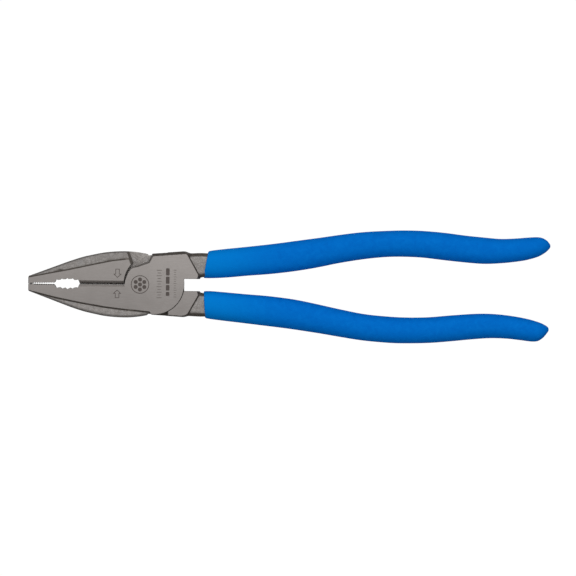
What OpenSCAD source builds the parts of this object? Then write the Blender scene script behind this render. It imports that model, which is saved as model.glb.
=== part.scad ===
// Lineman pliers, 225 mm class, lap joint, dipped grips.
// Frame: +X from the pivot towards the handles, +Y across, +Z up.
// The tool lies flat on z = 0 with its jaws closed and its pivot axis on Z.
// The two levers are one forging used twice: the rear one is the front one
// turned half a turn about the X axis, so every shape is written once.

/* [Head] */
// Thickness of the ground head
head_t = 12; // [11:0.25:14]
// Gap between the two lap faces
lap_gap = 0.04; // [0.02:0.01:0.1]
// Radius of the turning disc of each lever
disc_r = 12.75; // [12.6:0.05:12.8]
// Radius of the pocket wall in the handle root
root_pocket_r = 12.95; // [12.9:0.05:13.1]
// Radius of the pocket wall in the jaw
jaw_pocket_r = 13.2; // [13:0.05:13.4]
// Height of the step from the ground face down to the forged slope
flank_step = 0.5; // [0.3:0.1:1]
// Fall of the forged slope towards the outside, in degrees
flank_fall = 12; // [5:1:20]

/* [Jaws] */
// Gap between the closed cutting edges
edge_gap = 0.03; // [0.02:0.01:0.1]
// Width of the cutter bevel on the outer face
bevel_front = 1.1; // [0.8:0.1:1.6]
// Width of the cutter bevel on the hidden face
bevel_back = 1.5; // [0.8:0.1:1.8]
// Height of the land left between the two bevels
edge_land = 3; // [1:0.5:5]
// Pitch of the fine teeth in the nose
tooth_pitch = 0.7; // [0.6:0.05:1]
// Depth of a fine tooth
tooth_depth = 0.26; // [0.15:0.01:0.3]
// Radius of one scallop of the pipe grip
scallop_r = 1.25; // [1.2:0.05:1.3]

/* [Pivot] */
// Radius of the rivet shank
rivet_r = 4.5; // [4:0.25:5]
// Radius of the countersunk rivet ends
rivet_head_r = 5.6; // [5.2:0.1:6]
// Depth of the countersink
rivet_sink = 1.1; // [0.8:0.1:1.5]
// Radial running clearance of the rivet in the front lever
pivot_clear = 0.04; // [0.02:0.01:0.08]

/* [Grips] */
// Thickness of the grips across the flat of the tool
grip_t = 12; // [11:0.25:14]
// How much smaller the steel tang is than the grip, over both sides
coat = 2.2; // [1.6:0.1:3]
// Where the grip begins, measured from the pivot
grip_mouth = 22; // [21:0.5:26]
// Where the grip ends, measured from the pivot
grip_end = 171; // [168:0.5:174]

/* [Hidden] */
e = 0.01;
ht = head_t / 2;
lg = lap_gap / 2;
eg = edge_gap / 2;
steel = [0.57, 0.55, 0.53];
blue = [0.03, 0.40, 0.75];

// Outer edge of one closed jaw at the mid-plane, from the tip to the joint
JAW_EDGE = [[-54.3, 3.2], [-50, 4.8], [-46, 6.3], [-42, 7.8], [-38, 9.3], [-34, 10.7],
            [-30, 11.9], [-26, 12.8], [-22, 13.6], [-18, 14.05], [-14, 14.25], [-10, 14.2],
            [-7, 13.9], [-4.5, 13.5], [-2.8, 13.2]];
// Edge of the ground face on the jaw
FLAT_EDGE = [[-54.3, 2.9], [-42, 5.9], [-32, 7.9], [-21, 9.9], [-12, 10.9], [-5.6, 11.5], [-1.2, 12.2]];
// Centre line, width and half thickness of a handle over its grip
HANDLE = [[13, 8.2, 12.6, 6], [22, 8.75, 12.1, 6], [30, 9.4, 12.45, 6], [40, 10.3, 12.75, 6],
          [50, 11.3, 13, 6], [60, 12.55, 13.1, 6], [70, 14.2, 12.7, 6], [80, 16, 12.2, 6],
          [90, 17.55, 11.75, 6], [100, 18.45, 11.45, 6], [110, 18.7, 11.4, 6], [120, 18.25, 11.5, 6],
          [130, 17.2, 11.65, 6], [140, 16.3, 11.2, 5.9], [150, 16.25, 10.5, 5.8],
          [160, 17.35, 10, 5.6], [166, 18.1, 9.6, 5.4], [172, 18, 9.2, 5.2]];

// Smooth curve through a table: column k at station u
function seg(T, u, i = 0) = (i >= len(T) - 2 || u < T[i + 1][0]) ? i : seg(T, u, i + 1);
function slope(T, i, k) =
    i <= 0 ? (T[1][k] - T[0][k]) / (T[1][0] - T[0][0])
    : i >= len(T) - 1 ? (T[i][k] - T[i - 1][k]) / (T[i][0] - T[i - 1][0])
    : (T[i + 1][k] - T[i - 1][k]) / (T[i + 1][0] - T[i - 1][0]);
function curve(T, u, k) = let(
    i = seg(T, u), h = T[i + 1][0] - T[i][0], s = (u - T[i][0]) / h,
    m0 = slope(T, i, k) * h, m1 = slope(T, i + 1, k) * h)
    T[i][k] * (2 * s^3 - 3 * s^2 + 1) + m0 * (s^3 - 2 * s^2 + s)
    + T[i + 1][k] * (3 * s^2 - 2 * s^3) + m1 * (s^3 - s^2);

// One jaw from the mating line out to its forged edge, y negative
module jaw_2d() {
    polygon(concat(
        [for (u = [-54.3:2:-4]) [u, -curve(JAW_EDGE, u, 1)]],
        [[-2.8, -13.15], [-2.45, -12.5], [0, -12], [0, -eg], [-42.6, -eg]],
        [for (i = [0:10]) each [
            [-42.8 - i * tooth_pitch, -eg - (i < 11 ? 0.3 : 0)],
            [-42.8 - (i + 0.5) * tooth_pitch, -eg - 0.3 + tooth_depth * (i > 9 ? 0.9 : 0.8)]]],
        [[-50.6, -eg], [-54.3, -eg]]));
}

// Pipe grip: scallops along a shallow arch, pointed towards the cutters
module pipe_grip_2d() {
    for (c = [[-41.2, 0.85], [-39.4, 1.12], [-37.5, 1.2], [-35.6, 1.1], [-33.9, 0.75]])
        translate([c[0], -c[1]]) circle(r = scallop_r, $fn = 48);
    polygon([[-42.4, 1], [-42.4, -0.9], [-41, -1.7], [-37.5, -2], [-34, -1.6], [-32.8, -0.9], [-32.1, 0], [-32.1, 1]]);
}

// Handle root behind the joint, up to where the ground face ends
ROOT = [[13.2, 14.15], [14.5, 13.6], [19.2, 4.8], [18.7, 2.6], [12.8, 2.6]];

// Half of the lever that turns over the other lever's lap face
module lap_half_2d() {
    difference() {
        union() {
            difference() {
                jaw_2d();
                pipe_grip_2d();
            }
            circle(r = disc_r, $fn = 96);
            polygon(concat([[-1, 12.75]], ROOT, [[12.8, -1.5], [0, -1.5]]));
        }
        // relief between the disc and the other jaw, and the opening stop
        polygon([[-12.75, 0.9], [-12.2, 2.8], [-10.9, 5.7], [-9.1, 7.3], [-8, 8], [-2.5, 9.8],
                 [-1.9, 11.1], [-1.05, 12.7], [-1.05, 15], [-15, 15], [-15, 0.9]]);
    }
}

// Half of the lever that carries the pocket for the other lever's disc
module pocket_half_2d() {
    difference() {
        union() {
            difference() {
                jaw_2d();
                pipe_grip_2d();
                polygon([[-9.05, -9], [-11.1, -15], [2, -15], [2, 0], [-9.05, 0]]);
            }
            polygon(concat([[5.5, 8], [5.5, 13.5]], ROOT));
        }
        circle(r = root_pocket_r, $fn = 96);
        intersection() {
            circle(r = jaw_pocket_r, $fn = 96);
            translate([-20, -20]) square([20, 20]);
        }
    }
}

// Sloping forged flank outside the ground face, cut from the top of a jaw
module flank_cut() {
    intersection() {
        translate([0, 0, ht - 6]) linear_extrude(height = 8) polygon(concat(
            [for (p = FLAT_EDGE) [p[0], -p[1]]],
            [[-1.2, -16], [-56, -16], [-56, -2.5]]));
        translate([-54.3, -2.9, ht - flank_step]) rotate([0, 0, -10.4]) rotate([flank_fall, 0, 0])
            translate([-10, -22, 0]) cube([80, 30, 10]);
    }
}

// Bevel of the cutter on the upper face, width w
module bevel_cut(w) {
    translate([-32.6, 0, 0]) rotate([90, 0, 90]) linear_extrude(height = 19.8)
        polygon([[-eg, edge_land / 2], [-w - eg, ht], [-w - eg, ht + 1], [1, ht + 1], [1, edge_land / 2]]);
}

// Ring of a handle section at station u: shear tilts the section in plan
function ring(u, w, h, n, k) = [for (j = [0:n - 1]) let(
    a = 360 * j / n, p = 2 / 2.3,
    y = sign(cos(a)) * pow(abs(cos(a)), p) * w / 2, z = sign(sin(a)) * pow(abs(sin(a)), p) * h)
    [u + k * y, curve(HANDLE, u, 1) + y, z]];

// Closed solid through a list of rings with the same number of points
module loft(rings) {
    n = len(rings[0]);
    m = len(rings);
    polyhedron(points = [for (r = rings) each r], faces = concat(
        [[for (j = [0:n - 1]) j]],
        [[for (j = [n - 1:-1:0]) (m - 1) * n + j]],
        [for (i = [0:m - 2]) for (j = [0:n - 1]) let(a = i * n + j, b = i * n + (j + 1) % n)
            each [[a, a + n, b + n], [a, b + n, b]]]));
}

// Steel tang of one handle
tang_end = grip_end - 4;
function tang_close(u) = u < tang_end - 8 ? 1 : sqrt(max(0.04, 1 - pow((u - tang_end + 8) / 8.2, 2)));
module tang() {
    us = concat([13.6, 16, 19], [for (u = [22:5.5:154]) u], [157, 160, 162.5, 164.5, 166, tang_end]);
    loft([for (u = us) ring(u, (curve(HANDLE, u, 2) - coat) * tang_close(u),
        (grip_t / 12 * min(6, curve(HANDLE, u, 3)) - coat / 2) * tang_close(u), 16,
        u < 30 ? 0.11 * (30 - max(u, 20)) / 10 * (u > 20 ? 1 : 0) : 0)]);
}

// Outside of one dipped grip
function grip_close(u) = u < grip_end - 12 ? 1 : sqrt(max(0.003, 1 - pow((u - grip_end + 12) / 12, 2)));
module grip_skin() {
    us = concat([grip_mouth, grip_mouth + 0.25, grip_mouth + 0.8], [for (u = [grip_mouth + 4:4:grip_end - 13]) u],
        [for (d = [12, 9, 6.5, 4.5, 3, 1.8, 0.9, 0.3, 0]) grip_end - d]);
    loft([for (u = us) let(lip = u < grip_mouth + 0.1 ? 0.5 : u < grip_mouth + 0.5 ? 0.18 : 0)
        ring(u, curve(HANDLE, u, 2) * grip_close(u) - 2 * lip,
        grip_t / 12 * min(6, curve(HANDLE, u, 3)) * grip_close(u) - lip, 24,
        0.11 * max(0, 1 - (u - grip_mouth) / 10))]);
}

// One forged lever with its mid-plane on z = 0; clear is the clearance of the rivet in it
module lever(clear) {
    difference() {
        union() {
            translate([0, 0, lg]) linear_extrude(height = ht - lg) lap_half_2d();
            translate([0, 0, -ht]) linear_extrude(height = ht + lg) pocket_half_2d();
            tang();
        }
        translate([0, 0, -ht - 1]) cylinder(r = rivet_r + clear, h = head_t + 2, $fn = 64);
        translate([0, 0, ht - rivet_sink]) cylinder(r1 = rivet_r + clear, r2 = rivet_head_r + clear, h = rivet_sink, $fn = 64);
        flank_cut();
        mirror([0, 0, 1]) flank_cut();
        bevel_cut(bevel_front);
        mirror([0, 0, 1]) bevel_cut(bevel_back);
    }
}

module grip() {
    difference() {
        grip_skin();
        tang();
    }
}

// Lower jaw and upper handle, in front
module lever_front() { color(steel) translate([0, 0, ht]) lever(pivot_clear); }

// Upper jaw and lower handle, behind
module lever_rear() { color(steel) translate([0, 0, ht]) rotate([180, 0, 0]) lever(0); }

// Rivet, ground flush on both faces and fast in the rear lever
module pivot_rivet() {
    color(steel) rotate_extrude($fn = 96)
        polygon([[0, 0], [rivet_head_r, 0], [rivet_r, rivet_sink], [rivet_r, head_t - rivet_sink],
                 [rivet_head_r, head_t], [0, head_t]]);
}

module grip_upper() { color(blue) translate([0, 0, ht]) grip(); }
module grip_lower() { color(blue) translate([0, 0, ht]) rotate([180, 0, 0]) grip(); }

lever_front();
lever_rear();
pivot_rivet();
grip_upper();
grip_lower();
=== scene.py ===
"""Looks of the lineman pliers: forged and ground levers, flush rivet, dipped grips, on a pale floor."""

import math

import bpy
import numpy as np
import openvdb
from mathutils import Matrix, Vector


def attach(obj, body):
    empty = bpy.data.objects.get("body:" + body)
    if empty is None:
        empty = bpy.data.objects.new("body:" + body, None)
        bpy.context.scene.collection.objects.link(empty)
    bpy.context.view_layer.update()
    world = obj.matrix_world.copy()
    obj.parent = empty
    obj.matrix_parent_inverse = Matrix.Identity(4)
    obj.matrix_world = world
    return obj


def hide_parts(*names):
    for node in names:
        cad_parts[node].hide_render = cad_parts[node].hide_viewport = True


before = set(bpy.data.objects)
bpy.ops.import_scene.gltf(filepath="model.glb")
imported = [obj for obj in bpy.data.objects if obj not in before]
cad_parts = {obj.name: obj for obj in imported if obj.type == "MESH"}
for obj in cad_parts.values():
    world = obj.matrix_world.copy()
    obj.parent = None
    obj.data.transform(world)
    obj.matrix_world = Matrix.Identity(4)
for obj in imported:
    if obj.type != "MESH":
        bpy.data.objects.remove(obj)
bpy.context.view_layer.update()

MM = 0.001
HT = 6.0                       # half thickness of the head, in mm
VOX = 0.16

# ---------------------------------------------------------------- tables (mm, from the pivot)
JAW_EDGE = [(-54.3, 3.2), (-50, 4.8), (-46, 6.3), (-42, 7.8), (-38, 9.3), (-34, 10.7),
            (-30, 11.9), (-26, 12.8), (-22, 13.6), (-18, 14.05), (-14, 14.25), (-10, 14.2),
            (-7, 13.9), (-4.5, 13.5), (-2.9, 13.2)]
FLAT_FRONT = [(-56, 2.7), (-54.2, 3.1), (-42.2, 6.05), (-31.8, 8.1), (-21.3, 9.85), (-13, 10.8), (-5.6, 11.5), (-2.1, 11.85), (-1.5, 12.9), (0, 13)]
FLAT_BACK = [(-56, 2.4), (-54.2, 2.8), (-37.1, 6.1), (-24.7, 8.8), (-18.4, 10.1), (-12.1, 10.9), (-5, 11.4), (0, 11.8)]
HANDLE = [(13, 8.2, 12.6, 6), (22, 8.75, 12.1, 6), (30, 9.4, 12.45, 6), (40, 10.3, 12.75, 6),
          (50, 11.3, 13, 6), (60, 12.55, 13.1, 6), (70, 14.2, 12.7, 6), (80, 16, 12.2, 6),
          (90, 17.55, 11.75, 6), (100, 18.45, 11.45, 6), (110, 18.7, 11.4, 6), (120, 18.25, 11.5, 6),
          (130, 17.2, 11.65, 6), (140, 16.3, 11.2, 5.9), (150, 16.25, 10.5, 5.8),
          (160, 17.35, 10, 5.6), (166, 18.1, 9.6, 5.4), (172, 18, 9.2, 5.2)]
GRIP_MOUTH, GRIP_END, TANG_END = 22.0, 171.0, 167.0


def curve(table, u, k=1):
    """Smooth curve through a table: column k at stations u."""
    t = np.array(table, float)
    x, y = t[:, 0], t[:, k]
    m = np.empty(len(x))
    m[1:-1] = (y[2:] - y[:-2]) / (x[2:] - x[:-2])
    m[0], m[-1] = (y[1] - y[0]) / (x[1] - x[0]), (y[-1] - y[-2]) / (x[-1] - x[-2])
    u = np.asarray(u, float)
    i = np.clip(np.searchsorted(x, u, side="right") - 1, 0, len(x) - 2)
    h = x[i + 1] - x[i]
    s = (u - x[i]) / h
    return (y[i] * (2 * s**3 - 3 * s**2 + 1) + m[i] * h * (s**3 - 2 * s**2 + s)
            + y[i + 1] * (3 * s**2 - 2 * s**3) + m[i + 1] * h * (s**3 - s**2))


# ---------------------------------------------------------------- distance fields
def smax(a, b, r):
    h = np.maximum(r - np.abs(a - b), 0)
    return np.maximum(a, b) + h * h / (4 * r)


def smin(a, b, r):
    return -smax(-a, -b, r)


def poly_sdf(X, Y, pts):
    """Signed distance to a closed polygon, negative inside."""
    pts = np.array(pts, np.float32)
    d = np.full(X.shape, 1e9, np.float32)
    inside = np.zeros(X.shape, bool)
    for (ax, ay), (bx, by) in zip(pts, np.roll(pts, -1, axis=0)):
        ex, ey = bx - ax, by - ay
        wx, wy = X - ax, Y - ay
        t = np.clip((wx * ex + wy * ey) / (ex * ex + ey * ey), 0, 1)
        d = np.minimum(d, (wx - ex * t) ** 2 + (wy - ey * t) ** 2)
        if by != ay:
            hit = (ay > Y) != (by > Y)
            inside ^= hit & (X < ex * (Y - ay) / (by - ay) + ax)
    d = np.sqrt(d)
    return np.where(inside, -d, d)


def line_sdf(X, Y, a, b):
    """Distance to the line a to b, positive on its left side."""
    dx, dy = b[0] - a[0], b[1] - a[1]
    n = math.hypot(dx, dy)
    return (-(X - a[0]) * dy + (Y - a[1]) * dx) / n


def soft_noise(shape, size, seed):
    """Smooth 2D noise of about unit strength, with features of the given size in cells."""
    rng = np.random.default_rng(seed)
    f = np.fft.rfft2(rng.standard_normal(shape))
    ky = np.fft.fftfreq(shape[0])[:, None]
    kx = np.fft.rfftfreq(shape[1])[None, :]
    f *= np.exp(-(kx**2 + ky**2) * (math.pi * size) ** 2)
    n = np.fft.irfft2(f, shape)
    return (n / n.std()).astype(np.float32)


def lever_mesh(block_line, draft, slim, seed):
    """The forging of one lever, front lever's pose, mid-plane on z = 0. Returns points and faces in mm."""
    h = VOX
    x = np.arange(-55.4, 26.6, h, dtype=np.float32)
    y = np.arange(-15.4, 15.6, h, dtype=np.float32)
    z = (np.arange(math.ceil(13.4 / h)) * h - 6.7).astype(np.float32)
    X, Y = np.meshgrid(x, y, indexing="ij")
    Z = z[None, None, :]
    aZ = np.abs(Z)
    R = np.hypot(X, Y)

    us = np.arange(-54.3, -2.9, 1.0)
    edge = [(-58, -curve(JAW_EDGE, -54.3) + 1.4)] + [(u, -curve(JAW_EDGE, u)) for u in us]
    edge += [(-3.1, -13.15), (-2.45, -12.6), (-1.3, -12.74), (-0.8, -12.5), (1.5, -12.3), (1.5, 30), (-58, 30)]
    d_out = poly_sdf(X, Y, edge)
    flat_f = poly_sdf(X, Y, [(u, -v) for u, v in FLAT_FRONT] + [(0, 30), (-56, 30)])
    flat_b = poly_sdf(X, Y, [(u, -v) for u, v in FLAT_BACK] + [(0, 30), (-56, 30)])

    # noise for the forged skin: rough for the coarse back flank, rough_f milder for the front
    rough = (0.6 * soft_noise(X.shape, 0.55 / h, seed) + 0.5 * soft_noise(X.shape, 1.5 / h, seed + 1)).astype(np.float32)
    rough_f = (0.5 * soft_noise(X.shape, 0.9 / h, seed + 2) + 0.4 * soft_noise(X.shape, 2.5 / h, seed + 3)).astype(np.float32)

    # flanks: front of this lever is the calm lower jaw, its back is the coarse upper jaw of the other one
    h_f = 5.22 - 0.20 * np.maximum(flat_f, 0) + 0.012 * rough_f * (flat_f > 0.3)
    h_b = 5.50 - 0.16 * np.maximum(flat_b, 0) + 0.045 * rough * np.clip((flat_b - 0.3) * 3, 0, 1)
    top = np.where(Z > 0, aZ - h_f[..., None], aZ - h_b[..., None])
    jaw = smax(d_out[..., None] + 0.05 * aZ, top, np.float32(1.1))
    wall_f = flat_f[..., None] + 0.75 * (aZ - 5.55)
    wall_b = flat_b[..., None] + 0.80 * (aZ - 5.70)
    ground = smax(np.where(Z > 0, wall_f, wall_b), aZ - HT, np.float32(0.14))
    ground = np.maximum(ground, d_out[..., None] + 0.05 * aZ)
    jaw = smin(jaw, ground, np.float32(0.12))
    jaw = smax(jaw, Y[..., None] + 0.015 + 0 * Z, np.float32(0.05))       # mating side
    jaw = smax(jaw, (-54.3 - X)[..., None] + 0 * Z, np.float32(0.25))      # nose face
    del ground, wall_b, top

    # block behind the joint, up to where its ground face ends
    k = np.float32(draft)
    (bx0, by0), (bx1, by1) = block_line
    outer = -line_sdf(X, Y, (bx1, by1), (bx0, by0))
    corner = -line_sdf(X, Y, (bx1 + 2.1, by1 - 0.85), (bx1, by1))
    slant = -line_sdf(X, Y, (19.2, 4.5), (14.35, 13.2))
    lower_end = -line_sdf(X, Y, (18.55, 2.5), (19.15, 4.6))
    block = smax(outer[..., None] + k * aZ, corner[..., None] + 0.14 * aZ, np.float32(0.5))
    block = smax(block, (slant[..., None] + 0.45 * (aZ - 5.2)), np.float32(0.25))
    block = smax(block, (lower_end[..., None] + 0.2 * (aZ - 5.2)), np.float32(0.3))
    block = smax(block, (2.6 - Y)[..., None] + 0.01 * aZ, np.float32(0.3))

    # lap half, above the mid-plane: disc and block, less the relief next to the other jaw
    relief = poly_sdf(X, Y, [(-12.9, 0.7), (-12.62, 1.6), (-12.2, 2.8), (-11.65, 4.3), (-10.9, 5.7), (-10.05, 6.7), (-9.1, 7.4),
                             (-8.1, 7.95), (-6.6, 8.6), (-2.75, 9.95), (-1.6, 12.2), (-1.1, 13.4), (-1.1, 17), (-17, 17), (-17, 0.7)])
    wall = -relief[..., None] + (0.133 * np.clip((X + 9.6) / 2.5, 0, 1))[..., None] * aZ
    disc = np.maximum(R[..., None] - 12.75, wall)
    cheek = np.minimum(wall_f, Z - h_f[..., None])
    disc = np.where((Y > 0)[..., None], smax(disc, outer[..., None] + k * aZ, np.float32(0.2)), disc)
    disc = np.where(((X < -0.9) & (Y < 0))[..., None], smax(disc, cheek, np.float32(0.12)), disc)
    lap = np.minimum(disc, np.maximum(block, np.maximum((-2.4 - X)[..., None], wall)))
    side = np.maximum(np.maximum(X - 12.8, -1.6 - Y), np.maximum(R - 13.1, 8 - X))
    lap = np.minimum(lap, side[..., None])
    lap = smax(lap, Z - HT + 0 * lap, np.float32(0.16))
    lap = np.minimum(lap, jaw)
    # the lap face is machined inside the joint and forged, a little lower, outside it
    away = np.clip((R - 12.9) / 0.5, 0, 1)
    floor = 0.02 + away * (0.28 + 0.06 * rough)
    lap = smax(lap, floor[..., None] - Z, np.float32(0.12))

    # pocket half, below it: jaw up to the opening stop, and the block outside its pocket
    sh = (X + 9.05) * 0.938 - (Y + 9.0) * 0.345
    pocket = smax((13.2 - R)[..., None] + 0 * Z, sh[..., None] + 0.20 * aZ, np.float32(0.3))
    low_jaw = smax(jaw, pocket, np.float32(0.16))
    low_jaw = np.maximum(low_jaw, Z - 3.0)
    seat = np.maximum(smax((12.95 - R)[..., None] + 0 * Z, (5.5 - X)[..., None] + 0.10 * aZ, np.float32(0.25)), Z - 3.0)
    low_block = smax(block, seat, np.float32(0.16))
    low = smax(np.minimum(low_jaw, low_block), -Z - HT, np.float32(0.16))
    body = np.minimum(lap, low)
    del lap, low, low_jaw, low_block, seat, pocket, block

    # shank, a rounded bar that carries on into the grip
    c = curve([(10, 8.1), (16, 8.35), (20, 8.55), (22, 8.72), (24, 8.95), (30, 9.4)], X) - slim
    a = curve([(10, 5.25), (16, 5.32), (20, 5.27), (22, 5.05), (24, 4.75), (30, 4.6)], X) - 0.6 * slim
    b = curve([(10, 5.3), (14, 5.3), (18, 5.1), (23, 4.85), (30, 4.8)], X)
    q = np.abs(Y - c) - a
    t = aZ - b[..., None] + 0.02 * rough_f[..., None]
    rr = np.float32(2.6)
    qa, ta = q[..., None] + rr, t + rr
    shank = np.minimum(np.maximum(qa, ta), 0) + np.sqrt(np.maximum(qa, 0) ** 2 + np.maximum(ta, 0) ** 2) - rr
    shank = np.maximum(shank, np.maximum(13.4 - X, X - 26.0)[..., None])
    body = smin(body, shank, np.float32(0.35))

    body = np.clip(body, -3 * h, 3 * h).astype(np.float32)
    grid = openvdb.FloatGrid(3 * h)
    grid.copyFromArray(np.ascontiguousarray(body))
    pts, quads = grid.convertToQuads(0.0)
    pts = pts * h + np.array([x[0], y[0], z[0]])
    return pts, quads


def new_mesh(name, pts, faces, mats=()):
    me = bpy.data.meshes.new(name)
    me.from_pydata([tuple(p) for p in pts], [], [tuple(int(i) for i in f) for f in faces])
    for m in mats:
        me.materials.append(m)
    me.validate()
    ob = bpy.data.objects.new(name, me)
    bpy.context.scene.collection.objects.link(ob)
    return ob


def fast_quads(name, pts, quads):
    me = bpy.data.meshes.new(name)
    me.vertices.add(len(pts))
    me.vertices.foreach_set("co", np.asarray(pts, np.float32).ravel())
    n = len(quads)
    me.loops.add(4 * n)
    me.loops.foreach_set("vertex_index", np.asarray(quads, np.int32).ravel())
    me.polygons.add(n)
    me.polygons.foreach_set("loop_start", np.arange(0, 4 * n, 4, dtype=np.int32))
    me.update(calc_edges=True)
    me.validate()
    ob = bpy.data.objects.new(name, me)
    bpy.context.scene.collection.objects.link(ob)
    return ob


def apply_modifiers(ob):
    dg = bpy.context.evaluated_depsgraph_get()
    dg.update()
    me = bpy.data.meshes.new_from_object(ob.evaluated_get(dg), preserve_all_data_layers=True, depsgraph=dg)
    ob.modifiers.clear()
    old = ob.data
    ob.data = me
    bpy.data.meshes.remove(old)
    return ob



def volume(pts, quads):
    p = pts[quads]
    a, b, c, d = p[:, 0], p[:, 1], p[:, 2], p[:, 3]
    return (np.einsum("ij,ij->i", a, np.cross(b, c)).sum() + np.einsum("ij,ij->i", a, np.cross(c, d)).sum()) / 6


# ---------------------------------------------------------------- materials
def node_material(name):
    m = bpy.data.materials.new(name)
    m.use_nodes = True
    nt = m.node_tree
    return m, nt, nt.nodes["Principled BSDF"]


class G:
    """Small helper to wire shader nodes."""

    def __init__(self, nt):
        self.nt = nt

    def new(self, kind, **props):
        n = self.nt.nodes.new(kind)
        for k, v in props.items():
            setattr(n, k, v)
        return n

    def put(self, sock, v):
        if hasattr(v, "is_linked") or isinstance(v, bpy.types.NodeSocket):
            self.nt.links.new(v, sock)
        elif isinstance(v, (tuple, list)) and len(v) == 3 and sock.type == "RGBA":
            sock.default_value = (*v, 1)
        else:
            sock.default_value = v

    def math(self, op, a, b=0.0, c=None, clamp=False):
        n = self.new("ShaderNodeMath", operation=op, use_clamp=clamp)
        self.put(n.inputs[0], a)
        self.put(n.inputs[1], b)
        if c is not None:
            self.put(n.inputs[2], c)
        return n.outputs[0]

    def step(self, x, lo, hi, to_lo=0.0, to_hi=1.0):
        n = self.new("ShaderNodeMapRange", interpolation_type="SMOOTHSTEP")
        self.put(n.inputs[0], x)
        for i, v in zip((1, 2, 3, 4), (lo, hi, to_lo, to_hi)):
            n.inputs[i].default_value = v
        return n.outputs[0]

    def noise(self, vec, scale, detail=3.0, rough=0.5, distortion=0.0):
        n = self.new("ShaderNodeTexNoise")
        self.put(n.inputs["Vector"], vec)
        n.inputs["Scale"].default_value = scale
        n.inputs["Detail"].default_value = detail
        n.inputs["Roughness"].default_value = rough
        n.inputs["Distortion"].default_value = distortion
        return n.outputs["Fac"]

    def mix(self, f, a, b):
        n = self.new("ShaderNodeMix", data_type="RGBA")
        self.put(n.inputs[0], f)
        self.put(n.inputs[6], a)
        self.put(n.inputs[7], b)
        return n.outputs[2]

    def fmix(self, f, a, b):
        n = self.new("ShaderNodeMix", data_type="FLOAT")
        self.put(n.inputs[0], f)
        self.put(n.inputs[2], a)
        self.put(n.inputs[3], b)
        return n.outputs[0]

    def ramp(self, f, stops):
        n = self.new("ShaderNodeValToRGB")
        self.put(n.inputs[0], f)
        el = n.color_ramp.elements
        el[0].position, el[0].color = stops[0][0], (*stops[0][1], 1)
        el[1].position, el[1].color = stops[-1][0], (*stops[-1][1], 1)
        for p, c in stops[1:-1]:
            e = el.new(p)
            e.color = (*c, 1)
        return n.outputs[0]

    def scaled(self, color, f):
        n = self.new("ShaderNodeVectorMath", operation="SCALE")
        self.put(n.inputs[0], color)
        self.put(n.inputs["Scale"], f)
        return n.outputs[0]

    def bump(self, h, strength, dist, normal=None):
        n = self.new("ShaderNodeBump")
        self.put(n.inputs["Height"], h)
        n.inputs["Strength"].default_value = strength
        n.inputs["Distance"].default_value = dist
        if normal is not None:
            self.put(n.inputs["Normal"], normal)
        return n.outputs[0]


EDGE_SHADE_EASE = 0.8        # how much of the painted shade on the steep sides is eased off along the low outer edge of the jaws


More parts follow.
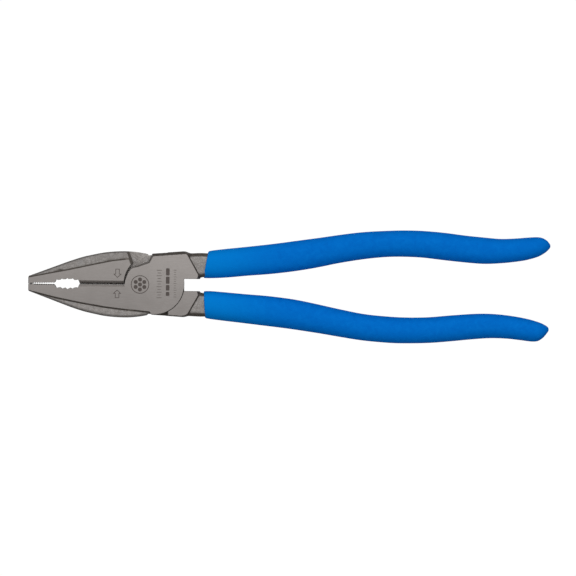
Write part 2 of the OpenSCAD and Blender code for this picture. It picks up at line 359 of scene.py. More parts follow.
def steel_material():
    """Forged steel: bright where it is ground flat on the two faces, grey and grainy where it is as forged, dark on the
    steep forged sides, partly as-forged scale and partly painted shade picked by tilt; painted shade also on the step
    walls and deep corners, and a painted light gradient across the ground faces.
    """
    m, nt, p = node_material("forged_steel")
    g = G(nt)
    tc = g.new("ShaderNodeTexCoord")
    P = tc.outputs["Object"]
    sep = g.new("ShaderNodeSeparateXYZ")
    g.put(sep.inputs[0], P)
    nsep = g.new("ShaderNodeSeparateXYZ")
    g.put(nsep.inputs[0], tc.outputs["Normal"])
    level = g.math("ABSOLUTE", g.math("SUBTRACT", sep.outputs[2], 0.006))
    up = g.math("ABSOLUTE", nsep.outputs[2])
    ground = g.math("MULTIPLY", g.step(level, 0.00590, 0.00597), g.step(up, 0.93, 0.985))
    jaw_side = g.math("LESS_THAN", sep.outputs[0], -0.0008)
    low = g.math("MULTIPLY", g.step(level, 0.0049, 0.0046), EDGE_SHADE_EASE)
    # painted shade: forged surfaces turn dark by how far they tilt from flat, more readily on the block and shank than
    # on the jaws; partly it stands for as-forged scale
    steep = g.fmix(jaw_side, g.step(up, 0.965, 0.83), g.fmix(low, g.step(up, 0.78, 0.42), g.step(up, 0.44, 0.14)))
    side = g.math("GREATER_THAN", g.math("MULTIPLY", sep.outputs[1], g.math("SUBTRACT", sep.outputs[2], 0.006)), 0.0)
    # painted shade: a dark band on the step wall below the edge of each ground face on the jaws, wider on the lower
    # jaw, whose step faces away from the light
    foot = g.math("ADD", 0.00508, g.math("MULTIPLY", side, 0.00030))
    line = g.math("MULTIPLY", g.step(g.math("SUBTRACT", level, foot), 0.0, 0.00014), g.step(level, 0.00597, 0.00590))
    line = g.math("MULTIPLY", line, g.math("LESS_THAN", sep.outputs[0], -0.0009))
    # painted shade: the low floor outside the joint, down in its corner, takes the dark colour
    deep = g.math("MULTIPLY", g.step(level, 0.0012, 0.0007), g.math("GREATER_THAN", sep.outputs[0], -0.0008))
    steep = g.math("MAXIMUM", steep, g.math("MAXIMUM", line, deep))

    # grain of the ground faces, fine lines along the tool, and soft cloudiness
    mp = g.new("ShaderNodeMapping")
    g.put(mp.inputs[0], P)
    mp.inputs["Rotation"].default_value = (0, 0, 0.35)
    mp.inputs["Scale"].default_value = (260, 4200, 600)
    grain = g.noise(mp.outputs[0], 1.0, 2.0, 0.6)
    cloud = g.noise(P, 160.0, 3.0, 0.55)
    g_col = g.mix(g.step(grain, 0.3, 0.7), (0.268, 0.248, 0.237), (0.300, 0.279, 0.267))
    g_col = g.mix(g.step(cloud, 0.35, 0.75, 0.0, 0.5), g_col, (0.255, 0.236, 0.224))

    # forged skin: fine pits on larger scale patches
    pits = g.noise(P, 2100.0, 4.0, 0.65)
    patch = g.noise(P, 620.0, 3.0, 0.6, 0.4)
    f_col = g.ramp(patch, [(0.28, (0.275, 0.255, 0.241)), (0.5, (0.360, 0.340, 0.326)), (0.72, (0.423, 0.403, 0.389))])
    f_col = g.mix(g.step(pits, 0.42, 0.62, 0.50, 0.0), f_col, (0.215, 0.198, 0.187))
    warm = g.noise(P, 330.0, 2.0, 0.5)
    f_col = g.mix(g.step(warm, 0.5, 0.72, 0.0, 0.25), f_col, (0.340, 0.336, 0.346))
    coarse = g.math("MULTIPLY", side, g.math("LESS_THAN", sep.outputs[0], -0.009))
    # painted shade: forged jaw surfaces low in the relief are made 3% darker
    hollow = g.math("MULTIPLY", g.step(level, 0.0022, 0.0012), g.math("LESS_THAN", sep.outputs[0], -0.0008))
    tone = g.math("MULTIPLY", g.fmix(coarse, g.fmix(jaw_side, 1.0, 1.20), 0.86), g.fmix(hollow, 1.0, 0.97))
    f_col = g.scaled(f_col, tone)
    # painted light: the ground faces are made brighter towards +Y and towards +X, the way the light falls across the
    # head
    g_col = g.scaled(g_col, g.step(sep.outputs[1], -0.012, 0.012, 0.925, 1.16))
    g_col = g.scaled(g_col, g.step(sep.outputs[0], -0.014, 0.004, 1.015, 1.085))
    col = g.mix(ground, f_col, g_col)
    # colour of the dark steep sides, mottled: partly as-forged scale, partly painted shade; 1.75 times lighter on the
    # face of the opening stop
    scale = g.noise(P, 900.0, 3.0, 0.6)
    scale_and_shade_col = g.ramp(scale, [(0.3, (0.055, 0.047, 0.041)), (0.7, (0.105, 0.092, 0.082))])
    ax = g.math("ABSOLUTE", g.math("ADD", sep.outputs[0], 0.0106))
    stop = g.math("MULTIPLY", g.math("LESS_THAN", ax, 0.0019), g.step(g.math("ABSOLUTE", sep.outputs[1]), 0.0080, 0.0086))
    scale_and_shade_col = g.scaled(scale_and_shade_col, g.fmix(stop, 1.0, 1.75))
    # upright forged walls are plain grey skin; the dark colour, partly as-forged scale and partly painted shade, stays
    # on the drafted walls
    wall = g.step(up, 0.24, 0.09)
    w_col = g.mix(g.step(pits, 0.40, 0.62, 0.65, 0.0), g.ramp(patch, [(0.28, (0.205, 0.190, 0.178)), (0.5, (0.265, 0.248, 0.235)), (0.72, (0.320, 0.302, 0.288))]), (0.135, 0.122, 0.112))
    scale_and_shade_col = g.mix(wall, scale_and_shade_col, w_col)
    col = g.mix(g.math("MULTIPLY", steep, g.fmix(ground, 1.0, 0.0)), col, scale_and_shade_col)
    g.put(p.inputs["Base Color"], col)

    rough_g = g.fmix(g.step(grain, 0.3, 0.7), 0.40, 0.46)
    rough_f = g.fmix(g.step(pits, 0.35, 0.65), 0.62, 0.50)
    g.put(p.inputs["Roughness"], g.fmix(steep, g.fmix(ground, rough_f, rough_g), g.fmix(wall, 0.80, 0.58)))
    g.put(p.inputs["Metallic"], g.fmix(steep, 0.85, g.math("MULTIPLY", wall, 0.25)))
    p.inputs["Specular IOR Level"].default_value = 0.03
    hg = g.math("MULTIPLY", grain, 0.06)
    hf = g.math("ADD", g.math("MULTIPLY", pits, 0.5), g.math("MULTIPLY", patch, 1.2))
    h = g.fmix(ground, hf, hg)
    g.put(p.inputs["Normal"], g.bump(h, 0.55, 0.00012))
    return m


def machined_material(name, dark, light):
    """Cut faces: bevels, teeth, pipe grip and bores, with fine milling lines across the thickness."""
    m, nt, p = node_material(name)
    g = G(nt)
    tc = g.new("ShaderNodeTexCoord")
    P = tc.outputs["Object"]
    mp = g.new("ShaderNodeMapping")
    g.put(mp.inputs[0], P)
    mp.inputs["Scale"].default_value = (5200, 2600, 180)
    lines = g.noise(mp.outputs[0], 1.0, 2.0, 0.6)
    soft = g.noise(P, 420.0, 3.0, 0.5)
    col = g.mix(g.step(lines, 0.3, 0.7), dark, light)
    col = g.mix(g.step(soft, 0.35, 0.7, 0.0, 0.4), col, dark)
    g.put(p.inputs["Base Color"], col)
    g.put(p.inputs["Roughness"], g.fmix(lines, 0.40, 0.52))
    p.inputs["Metallic"].default_value = 0.3
    p.inputs["Specular IOR Level"].default_value = 0.2
    g.put(p.inputs["Normal"], g.bump(lines, 0.25, 0.00004))
    return m


def etched_material(name, dark, light):
    """Etched marks: matt brown-grey, a little uneven."""
    m, nt, p = node_material(name)
    g = G(nt)
    P = g.new("ShaderNodeTexCoord").outputs["Object"]
    n = g.noise(P, 2600.0, 3.0, 0.6)
    n2 = g.noise(P, 700.0, 2.0, 0.5)
    col = g.mix(g.step(n, 0.35, 0.65), dark, light)
    col = g.mix(g.step(n2, 0.4, 0.7, 0.0, 0.35), col, light)
    g.put(p.inputs["Base Color"], col)
    g.put(p.inputs["Roughness"], g.fmix(n, 0.55, 0.75))
    p.inputs["Metallic"].default_value = 0.5
    g.put(p.inputs["Normal"], g.bump(n, 0.4, 0.00003))
    return m


def grip_material():
    """Dipped vinyl: satin blue, faintly mottled, a shade lighter towards the mouth end."""
    m, nt, p = node_material("dipped_plastic")
    g = G(nt)
    P = g.new("ShaderNodeTexCoord").outputs["Object"]
    sep = g.new("ShaderNodeSeparateXYZ")
    g.put(sep.inputs[0], P)
    mottle = g.noise(P, 420.0, 4.0, 0.55, 0.6)
    broad = g.noise(P, 90.0, 2.0, 0.5)
    col = g.ramp(mottle, [(0.30, (0.0, 0.146, 0.592)), (0.5, (0.0, 0.163, 0.632)), (0.70, (0.001, 0.181, 0.668))])
    col = g.mix(g.step(broad, 0.35, 0.7, 0.0, 0.35), col, (0.0, 0.155, 0.616))
    # lighter colour from 60 mm in towards the mouth end
    thin = g.step(sep.outputs[0], 0.060, 0.022, 0.0, 0.75)
    col = g.mix(thin, col, (0.0, 0.228, 0.710))
    g.put(p.inputs["Base Color"], col)
    orange = g.noise(P, 1500.0, 3.0, 0.55)
    g.put(p.inputs["Roughness"], g.fmix(g.step(mottle, 0.3, 0.7), 0.50, 0.60))
    p.inputs["Specular IOR Level"].default_value = 0.015
    h = g.math("ADD", g.math("MULTIPLY", orange, 0.4), g.math("MULTIPLY", mottle, 1.0))
    g.put(p.inputs["Normal"], g.bump(h, 0.22, 0.00012))
    return m


STEEL = steel_material()
CUT = machined_material("machined_steel", (0.17, 0.155, 0.147), (0.25, 0.235, 0.225))
EDGE_DARK = machined_material("cutter_steep", (0.31, 0.285, 0.268), (0.42, 0.39, 0.37))
# near-black and not metallic: painted shade in the tooth roots and in the pits by the tip
ROOT_SHADE = machined_material("tooth_root_shade", (0.008, 0.007, 0.007), (0.020, 0.018, 0.016))
ROOT_SHADE.node_tree.nodes["Principled BSDF"].inputs["Metallic"].default_value = 0.0
ROOT_SHADE.node_tree.nodes["Principled BSDF"].inputs["Specular IOR Level"].default_value = 0.03
EDGE_LIGHT = machined_material("cutter_bright", (0.30, 0.275, 0.26), (0.38, 0.352, 0.335))
ETCH = etched_material("etched_dark", (0.085, 0.070, 0.064), (0.120, 0.100, 0.092))
ETCH_FAINT = etched_material("etched_faint", (0.165, 0.145, 0.135), (0.205, 0.185, 0.172))
GRIP = grip_material()


# ---------------------------------------------------------------- cutters, in mm in the front lever's own pose
def prism(loop, z0, z1):
    """Closed extrusion of a 2D loop."""
    n = len(loop)
    pts = [(x, y, z0) for x, y in loop] + [(x, y, z1) for x, y in loop]
    area2 = sum(loop[i][0] * loop[(i + 1) % n][1] - loop[(i + 1) % n][0] * loop[i][1] for i in range(n))
    faces = [tuple(range(n - 1, -1, -1)), tuple(range(n, 2 * n))] + [(i, (i + 1) % n, n + (i + 1) % n, n + i) for i in range(n)]
    if area2 < 0:
        faces = [f[::-1] for f in faces]
    return pts, faces


def band(outer, inner, z0, z1):
    """Closed extrusion of the band between two loops with the same number of points."""
    n = len(outer)
    pts = [(x, y, z0) for x, y in outer] + [(x, y, z1) for x, y in outer] + [(x, y, z0) for x, y in inner] + [(x, y, z1) for x, y in inner]
    faces = []
    for i in range(n):
        j = (i + 1) % n
        o0, o0j, o1, o1j, i0, i0j, i1, i1j = i, j, n + i, n + j, 2 * n + i, 2 * n + j, 3 * n + i, 3 * n + j
        faces += [(o0, o0j, o1j, o1), (i0j, i0, i1, i1j), (o1, o1j, i1j, i1), (o0j, o0, i0, i0j)]
    return pts, faces


def profile_solid(loop, x0, x1):
    """Closed extrusion along X of a loop in the Y-Z plane."""
    n = len(loop)
    pts = [(x0, y, z) for y, z in loop] + [(x1, y, z) for y, z in loop]
    area2 = sum(loop[i][0] * loop[(i + 1) % n][1] - loop[(i + 1) % n][0] * loop[i][1] for i in range(n))
    faces = [tuple(range(n - 1, -1, -1)), tuple(range(n, 2 * n))] + [(i, (i + 1) % n, n + (i + 1) % n, n + i) for i in range(n)]
    if area2 < 0:
        faces = [f[::-1] for f in faces]
    return pts, faces


def turned(profile, n=128):
    """Solid of revolution about Z from (r, z) points that start and end on the axis."""
    pts, faces = [(0, 0, profile[0][1])], []
    for r, z in profile[1:-1]:
        pts += [(r * math.cos(2 * math.pi * i / n), r * math.sin(2 * math.pi * i / n), z) for i in range(n)]
    pts.append((0, 0, profile[-1][1]))
    rings = len(profile) - 2
    last = len(pts) - 1
    for i in range(n):
        j = (i + 1) % n
        faces.append((0, 1 + j, 1 + i))
        for k in range(rings - 1):
            a = 1 + k * n
            faces.append((a + i, a + j, a + n + j, a + n + i))
        a = 1 + (rings - 1) * n
        faces.append((a + i, a + j, last))
    return pts, faces


def circle(cx, cy, r, n=48):
    return [(cx + r * math.cos(2 * math.pi * i / n), cy + r * math.sin(2 * math.pi * i / n)) for i in range(n)]


def pill(cx, cy, w, h, r, n=5):
    out = []
    for qx, qy, a0 in ((1, 1, 0), (-1, 1, 90), (-1, -1, 180), (1, -1, 270)):
        for i in range(n + 1):
            a = math.radians(a0 + 90 * i / n)
            out.append((cx + qx * (w / 2 - r) + r * math.cos(a), cy + qy * (h / 2 - r) + r * math.sin(a)))
    return out


def inset(loop, d):
    """Loop moved inwards by d, corners mitred; the loop turns anticlockwise."""
    n, out = len(loop), []
    for i in range(n):
        (ax, ay), (bx, by), (cx_, cy_) = loop[i - 1], loop[i], loop[(i + 1) % n]
        e1, e2 = Vector((bx - ax, by - ay)).normalized(), Vector((cx_ - bx, cy_ - by)).normalized()
        n1, n2 = Vector((-e1.y, e1.x)), Vector((-e2.y, e2.x))
        m = (n1 + n2) / (1 + n1.dot(n2))
        out.append((bx + m.x * d, by + m.y * d))
    return out


def arrow(cx, tip, tail):
    """Outline arrow along Y, from its tail to its tip."""
    s = 1 if tip > tail else -1
    neck = tip - s * 1.75
    loop = [(cx - 0.9, tail), (cx + 0.9, tail), (cx + 0.9, neck), (cx + 1.85, neck), (cx, tip), (cx - 1.85, neck), (cx - 0.9, neck)]
    if s < 0:
        loop = loop[::-1]
    return loop


GRIP_UPPER = [(-42.9, 0.62), (-42.28, 1.92), (-41.6, 1.58), (-40.6, 1.72), (-40.0, 2.38), (-39.4, 1.88), (-38.45, 1.93), (-37.7, 2.46), (-37.0, 2.03),
              (-36.0, 2.08), (-35.3, 2.42), (-34.4, 1.6), (-33.6, 1.65), (-33.06, 2.05), (-32.5, 1.25), (-31.95, -0.6)]
GRIP_LOWER = [(-42.9, 0.55), (-42.2, 1.78), (-40.6, 1.44), (-39.75, 2.1), (-38.5, 1.62), (-37.57, 2.36), (-36.2, 1.62), (-35.4, 2.12), (-34.6, 1.62),
              (-33.75, 1.42), (-33.15, 1.74), (-32.65, 0.95), (-32.0, -0.6)]
TEETH = [-52.25 + 0.98 * i for i in range(9)]


def mating_loop(grip, deep, gap):
    """What is cut from the mating side of the jaw: nose slit with fine teeth, and the toothed pipe grip."""
    out = [(-52.5, 0.3), (-52.42, -0.03)]
    for x in TEETH:
        s = gap * (0.35 + 0.65 * (x + 52.4) / 9)
        out += [(x, -s), (x + 0.12, -deep), (x + 0.56, -deep), (x + 0.72, -s)]
    out += [(-43.35, -gap)]
    out += [(x, -d) for x, d in grip]
    return out


def tooth_notches():
    """Small wedges that open the tooth roots towards the front face, and a pit beside the very tip on both faces."""
    pts, faces = [], []
    spots = [(1, x + 0.86, 0.29, 0.02, 0.66) for x in TEETH] + [(1, -53.1, 0.40, 0.02, 0.46), (-1, -53.1, 0.40, 0.02, 0.34)]
    for side, m, w, y0, d in spots:
        k = len(pts)
        pts += [(m - w, y0, side * 6.5), (m + w, y0, side * 6.5), (m + 0.8 * w, -d, side * 6.5), (m - 0.8 * w, -d, side * 6.5),
                (m - w, y0, side * 3.2), (m + w, y0, side * 3.2)]
        f = [(0, 1, 2, 3), (0, 4, 5, 1), (1, 5, 2), (3, 4, 0), (2, 5, 4, 3)]
        faces += [tuple(k + i for i in (q if side < 0 else q[::-1])) for q in f]
    return pts, faces


def bevel(w, knee_y, knee_z, side):
    """Bevel of the cutter: from the face at depth w in to the edge."""
    loop = [(0.8, side * 1.5), (-0.015, side * 1.5), (-knee_y, side * knee_z), (-w, side * 6.0), (-w, side * 6.6), (0.8, side * 6.6)]
    return profile_solid(loop, -32.9, -12.87)


def rivet_hole(clear):
    r, rh, sink = 4.5 + clear, 5.605, 1.1
    return turned([(0, -7.5), (r, -7.5), (r, HT - sink), (rh, HT), (rh + 0.6, HT + 0.6), (0, HT + 0.6)], 160)


def cutter_object(name, parts, mat):
    pts, faces = [], []
    for p, f in parts:
        k = len(pts)
        pts += [tuple(float(c) for c in q) for q in p]
        faces += [tuple(i + k for i in q) for q in f]
    ob = new_mesh(name, np.array(pts, float) * MM, faces, [mat])
    return ob


def cut(ob, cutter, op="DIFFERENCE", solver="MANIFOLD"):
    n0 = len(ob.data.polygons)
    keep = ob.data.copy()
    m = ob.modifiers.new("cut", "BOOLEAN")
    m.operation, m.object, m.solver = op, cutter, solver
    if hasattr(m, "material_mode"):
        m.material_mode = "TRANSFER"
    apply_modifiers(ob)
    if solver == "MANIFOLD" and len(ob.data.polygons) < 0.3 * n0:
        old = ob.data
        ob.data = keep
        bpy.data.meshes.remove(old)
        print("manifold solver failed on", cutter.name, "- exact")
        return cut(ob, cutter, op, "EXACT")
    bpy.data.meshes.remove(keep)
    me = cutter.data
    bpy.data.objects.remove(cutter)
    bpy.data.meshes.remove(me)
    print("cut", ob.name, n0, "->", len(ob.data.polygons))
    return ob


def sharpen(ob, angle=32.0):
    """Smooth shading with creases by angle and large flat faces kept flat."""
    me = ob.data
    import bmesh
    bm = bmesh.new()
    bm.from_mesh(me)
    lim = math.radians(angle)
    for e in bm.edges:
        e.smooth = not (len(e.link_faces) == 2 and e.calc_face_angle(0.0) > lim)
    for f in bm.faces:
        f.smooth = True
    bm.to_mesh(me)
    bm.free()
    w = ob.modifiers.new("normals", "WEIGHTED_NORMAL")
    w.keep_sharp = True
    w.mode = "FACE_AREA"
    w.weight = 50
    apply_modifiers(ob)
    return ob


# ---------------------------------------------------------------- handles: stations across a grip
UPPER = dict(
    inner=[(20, 3.2), (24, 3.0), (30, 3.3), (40, 4.2), (50, 5.1), (60, 6.3), (70, 8.1), (80, 10.2), (90, 11.9), (100, 12.9), (107, 13.1), (115, 12.8),
           (125, 11.8), (135, 10.8), (142, 10.4), (150, 10.8), (156, 11.5), (160, 12.2), (164, 13.3), (166, 14.1), (168, 15.3), (169, 16.1), (170, 17.15), (170.35, 17.65), (170.5, 18.05)],
    outer=[(20, 14.2), (24, 15.0), (30, 15.7), (40, 16.8), (50, 18.0), (60, 19.4), (70, 20.85), (80, 22.4), (90, 23.65), (100, 24.25), (108, 24.5), (115, 24.4),
           (125, 23.65), (135, 22.45), (142, 21.8), (149, 21.3), (156, 21.6), (160, 21.95), (164, 22.2), (166, 22.1), (167, 21.85), (168, 21.4), (169, 20.75), (170, 19.65), (170.35, 19.1), (170.5, 18.65)],
    slant=0.17, mouth=22.05)
LOWER = dict(
    inner=[(20, 2.7), (24, 2.5), (30, 2.9), (40, 3.7), (50, 4.5), (60, 5.7), (70, 7.6), (80, 9.7), (90, 11.6), (100, 12.6), (108, 13.0), (118, 12.8),
           (128, 11.9), (138, 11.1), (145, 11.05), (152, 11.6), (158, 12.5), (162, 13.35), (165, 14.2), (167, 14.9), (168, 15.4), (169, 15.95), (169.7, 16.5), (170.0, 16.95), (170.1, 17.25)],
    outer=[(20, 13.9), (24, 14.6), (30, 15.3), (40, 16.4), (50, 17.5), (60, 18.7), (70, 20.1), (80, 21.7), (90, 23.15), (100, 24.0), (107, 24.2), (118, 23.95),
           (128, 23.1), (138, 22.1), (145, 21.6), (152, 21.75), (158, 22.35), (162, 22.8), (164, 22.85), (165.5, 22.6), (167, 21.75), (168, 20.9), (169, 19.7), (169.75, 18.7), (170.0, 18.3), (170.1, 17.95)],
    slant=0.06, mouth=21.55)


def grip_ring(spec, u, n, shrink=0.0, lip=0.0, k=0.0):
    """Points of the section at station u, shrunk all round by shrink mm."""
    end = spec["inner"][-1][0]
    a, b = float(curve(spec["inner"], u)), float(curve(spec["outer"], u))
    c, w = (a + b) / 2, max((b - a) / 2, 0.02)
    t = 5.98 if u < 135 else float(curve([(120, 5.98), (135, 5.98), (150, 5.8), (160, 5.6), (172, 5.3)], u))
    s = max(0.0, (u - (end - 8.5)) / 8.5)
    t *= math.sqrt(max(0.0, 1 - s**2.3))
    w, t = max(w - shrink - lip, 0.01), max(t - shrink - lip, 0.01)
    ang = 2 * math.pi * (np.arange(n) + 0.5) / n
    e = 2 / 2.25
    y = np.sign(np.cos(ang)) * np.abs(np.cos(ang)) ** e * w
    z = np.sign(np.sin(ang)) * np.abs(np.sin(ang)) ** e * t
    return np.stack([u + k * y, c + y, z], axis=1)


def loft(rings, cap_start=True, cap_end=True, closed=False):
    n, m = len(rings[0]), len(rings)
    pts = np.concatenate(rings)
    faces = []
    for i in range(m if closed else m - 1):
        i2 = (i + 1) % m
        for j in range(n):
            j2 = (j + 1) % n
            faces.append((i * n + j, i2 * n + j, i2 * n + j2, i * n + j2))
    if cap_start and not closed:
        faces.append(tuple(range(n)))
    if cap_end and not closed:
        faces.append(tuple(range((m - 1) * n, m * n))[::-1])
    return pts, faces


def handle_slant(spec, u):
    return spec["slant"] * max(0.0, 1 - (u - spec["mouth"]) / 9.0)


def grip_mesh(spec, seed):
    """Dipped sleeve: outside with a rounded mouth and end, and an inside that fits the tang."""
    n = 96
    end, mouth = spec["inner"][-1][0], spec["mouth"]
    rings = []
    R = 0.6
    # inside, from the blind end back to the mouth
    ins = np.concatenate([np.linspace(mouth + 1.0, TANG_END - 6, 60), TANG_END - 6 + 5.9 * np.sin(np.linspace(0.1, 1.57, 8))])
    for u in ins[::-1]:
        rings.append(grip_ring(spec, u, n, 0.66 + 0.40 * min(1.0, max(0.0, (u - mouth - 1) / 3)), 0, handle_slant(spec, u)))
    # rounded lip
    for q in np.linspace(0, math.pi / 2, 7):
        uu = mouth + R * (1 - math.cos(q))
        rings.append(grip_ring(spec, uu, n, 0, R * (1 - math.sin(q)), handle_slant(spec, uu)))
    us = np.concatenate([np.arange(mouth + 1.6, end - 10, 0.9), end - 10 + 10 * np.sin(np.linspace(0.05, math.pi / 2, 26))])
    rng = np.random.default_rng(seed)
    wob = [(rng.uniform(0.05, 0.35), rng.uniform(0, 6.28), rng.integers(0, 3)) for _ in range(6)]
    for u in us:
        r = grip_ring(spec, min(u, end - 0.004), n, 0, 0, handle_slant(spec, u))
        fade = min(1, (u - mouth) / 6) * min(1, max(0, (end - 4 - u) / 10))
        c = r.mean(axis=0)
        ang = 2 * math.pi * (np.arange(n) + 0.5) / n
        d = sum(0.012 * np.sin(f * u + ph + k2 * ang) for f, ph, k2 in wob) * fade
        r[:, 1:] = c[1:] + (r[:, 1:] - c[1:]) * (1 + (d - 0.02 * fade)[:, None] / 6)
        rings.append(r)
    return loft(rings)


def tang_mesh(spec):
    n = 32
    us = np.concatenate([[24.6], np.arange(27, TANG_END - 6, 4.0), TANG_END - 6 + 5.8 * np.sin(np.linspace(0, 1.5, 8))])
    return loft([grip_ring(spec, u, n, 1.1) for u in us])


# ---------------------------------------------------------------- levers
LINE_UP, LINE_LOW = ((-1.2, 13.45), (13.1, 14.6)), ((-1.2, 13.0), (13.1, 13.95))
TARGET = 60000


def lever(name, node, body, flip, spec, clear, marks):
    pts, quads = lever_mesh(LINE_LOW, 0.085, 0.15, 23) if flip else lever_mesh(LINE_UP, 0.21, 0.0, 3)
    if volume(pts, quads) < 0:
        quads = quads[:, ::-1]
    ob = fast_quads(name, pts * MM, quads)
    ob.data.materials.append(STEEL)
    if len(quads) > TARGET / 2:
        d = ob.modifiers.new("thin", "DECIMATE")
        d.ratio = TARGET / 2 / len(quads)
        d.use_collapse_triangulate = True
        apply_modifiers(ob)
    cut(ob, cutter_object(name + "_tang", [tang_mesh(spec)], STEEL), "UNION")
    cut(ob, cutter_object(name + "_mating", [prism(mating_loop(GRIP_UPPER, 0.55, 0.46) if flip else mating_loop(GRIP_LOWER, 0.20, 0.15), -6.7, 6.7)], CUT))
    # the notches carry the near-black painted-shade material
    cut(ob, cutter_object(name + "_notches", [tooth_notches()], ROOT_SHADE))
    cut(ob, cutter_object(name + "_bevel_a", [bevel(1.1, 0.12, 4.9, 1)], EDGE_LIGHT))
    cut(ob, cutter_object(name + "_bevel_b", [bevel(1.55, 0.35, 2.6, -1)], EDGE_DARK))
    cut(ob, cutter_object(name + "_bore", [rivet_hole(clear)], CUT))
    if flip:
        ob.data.transform(Matrix(((1, 0, 0, 0), (0, -1, 0, 0), (0, 0, -1, 0), (0, 0, 0, 1))))
    ob.data.transform(Matrix.Translation((0, 0, HT * MM)))
    for mat, parts in marks:
        cut(ob, cutter_object(name + "_marks", parts, mat))
    sharpen(ob)
    ob.name = name
    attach(ob, body)
    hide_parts(node)
    return ob


Z0, Z1 = 2 * HT - 0.05, 2 * HT + 0.4       # depth of the etched marks below the front face
ring = band(circle(-6.17, 0.0, 3.95, 96), circle(-6.17, 0.0, 3.62, 96), Z0, Z1)
strands = [prism(circle(-6.17, 0.0, 0.86, 40), Z0, Z1)]
for i in range(6):
    a = math.radians(60 * i + 30)
    strands.append(prism(circle(-6.17 + 2.15 * math.cos(a), 2.15 * math.sin(a), 0.86, 40), Z0, Z1))
bold = [prism(pill(5.75, y, 1.55, ln, 0.3), Z0, Z1) for y, ln in ((5.55, 3.1), (1.95, 3.1), (-1.3, 2.4), (-3.95, 1.7))]
faint = [prism(pill(2.1, 6.2 - 1.18 * i, 2.2 if i % 2 == 0 else 1.5, 0.3, 0.14), Z0 + 0.02, Z1) for i in range(11)]
faint += [prism(pill(8.9, 6.3 - 0.96 * i, 1.3 if i % 3 == 0 else 0.9, 0.24, 0.11), Z0 + 0.02, Z1) for i in range(13)]
up_loop = arrow(-16.0, -2.3, -5.9)
down_loop = arrow(-15.9, 2.75, 6.65)
up_arrow = band(up_loop, inset(up_loop, 0.26), Z0, Z1)
down_arrow = band(down_loop, inset(down_loop, 0.26), Z0, Z1)

lever_a = lever("front_lever", "lever_front", "front", False, UPPER, 0.04, [(ETCH, [ring, *strands, *bold, up_arrow]), (ETCH_FAINT, faint)])
lever_b = lever("rear_lever", "lever_rear", "rear", True, LOWER, 0.0, [(ETCH, [down_arrow])])

# ---------------------------------------------------------------- rivet, flush and ground with both faces
rp, rf = turned([(0, 0), (5.6, 0), (4.5, 1.1), (4.5, 10.9), (5.6, 12), (0, 12)], 160)
rivet = new_mesh("rivet", np.array(rp, float) * MM, rf, [STEEL])
for mat, parts in ((ETCH, [ring, *strands, *bold]), (ETCH_FAINT, faint)):
    cut(rivet, cutter_object("rivet_marks", parts, mat))
sharpen(rivet)
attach(rivet, "rear")
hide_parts("pivot_rivet")

# ---------------------------------------------------------------- grips
for name, node, body, spec, flip, seed in (("upper_grip", "grip_upper", "front", UPPER, False, 11), ("lower_grip", "grip_lower", "rear", LOWER, True, 12)):
    gp, gf = grip_mesh(spec, seed)
    if flip:
        gp = gp * [1, -1, -1]
    ob = new_mesh(name, (gp + [0, 0, HT]) * MM, gf, [GRIP])
    ob.data.shade_smooth()
    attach(ob, body)
    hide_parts(node)


def floor_material():
    """White sweep that shows pure white but throws only a modest bounce back on the tool."""
    m, nt, p = node_material("floor")
    g = G(nt)
    P = g.new("ShaderNodeTexCoord").outputs["Object"]
    n = g.noise(P, 30.0, 2.0, 0.5)
    g.put(p.inputs["Base Color"], g.mix(n, (0.28, 0.28, 0.28), (0.32, 0.32, 0.32)))
    p.inputs["Roughness"].default_value = 0.85
    p.inputs["Specular IOR Level"].default_value = 0.1
    glow = g.new("ShaderNodeEmission")
    glow.inputs["Color"].default_value = (1, 1, 1, 1)
    glow.inputs["Strength"].default_value = 1.03
    seen = g.new("ShaderNodeMixShader")
    g.put(seen.inputs[0], g.new("ShaderNodeLightPath").outputs["Is Camera Ray"])
    g.put(seen.inputs[1], p.outputs[0])
    g.put(seen.inputs[2], glow.outputs[0])
    out = next(x for x in nt.nodes if x.type == "OUTPUT_MATERIAL")
    g.put(out.inputs["Surface"], seen.outputs[0])
    return m


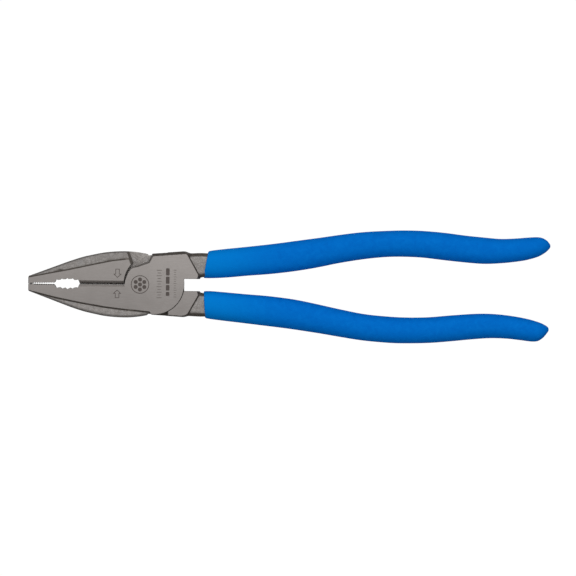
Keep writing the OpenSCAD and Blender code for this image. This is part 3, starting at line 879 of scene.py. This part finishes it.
# ---------------------------------------------------------------- floor, light, camera
floor_me = bpy.data.meshes.new("floor")
s = 1.6
floor_me.from_pydata([(-s, -s, -0.0002), (s, -s, -0.0002), (s, s, -0.0002), (-s, s, -0.0002)], [], [(0, 1, 2, 3)])
floor_ob = bpy.data.objects.new("floor", floor_me)
bpy.context.scene.collection.objects.link(floor_ob)
floor_me.materials.append(floor_material())

w = bpy.data.worlds.new("world")
bpy.context.scene.world = w
w.use_nodes = True
g = G(w.node_tree)
wd = g.new("ShaderNodeSeparateXYZ")
g.put(wd.inputs[0], g.new("ShaderNodeTexCoord").outputs["Generated"])
tent = g.step(wd.outputs[2], 0.10, 0.78, 0.16, 1.04)          # bright above, dim at the horizon
tent = g.math("MULTIPLY", tent, g.step(wd.outputs[1], -0.30, -0.85, 1.0, 0.25))
from_back = g.step(wd.outputs[1], 0.25, 0.95, 0.0, 0.38)       # a little more from beyond the upper handle
amount = g.math("ADD", tent, from_back)
g.put(w.node_tree.nodes["Background"].inputs["Color"], g.mix(amount, (0.0, 0.0, 0.0), (1.0, 1.0, 1.0)))
w.node_tree.nodes["Background"].inputs["Strength"].default_value = 1.0


def area(name, loc, target, size, power):
    l = bpy.data.lights.new(name, "AREA")
    l.shape = "RECTANGLE"
    l.size, l.size_y = size
    l.energy = power
    o = bpy.data.objects.new(name, l)
    o.location = loc
    o.rotation_euler = (Vector(target) - Vector(loc)).to_track_quat("-Z", "Y").to_euler()
    bpy.context.scene.collection.objects.link(o)


area("key", (0.0, 0.75, 0.95), (0.06, 0, 0), (1.2, 0.6), 1.2)

cam = bpy.data.cameras.new("camera")
cam.sensor_width = 36
DIST = 4.5
PX = 0.4311 * MM                       # one pixel of the 576 frame
cam.lens = 36 * DIST / (576 * PX)
cam.clip_start, cam.clip_end = 0.05, 20
co = bpy.data.objects.new("camera", cam)
bpy.context.scene.collection.objects.link(co)
roll = math.radians(0.6)
# image centre (288, 288) seen from the pivot at (154.5, 284.65)
dx, dy = (288 - 154.5) * PX, -(288 - 284.65) * PX
cx = dx * math.cos(roll) - dy * math.sin(roll)
cy = dx * math.sin(roll) + dy * math.cos(roll)
co.location = (cx, cy, 0.006 + DIST)
co.rotation_euler = (0, 0, roll)
bpy.context.scene.camera = co
bpy.context.scene.view_settings.view_transform = "Standard"
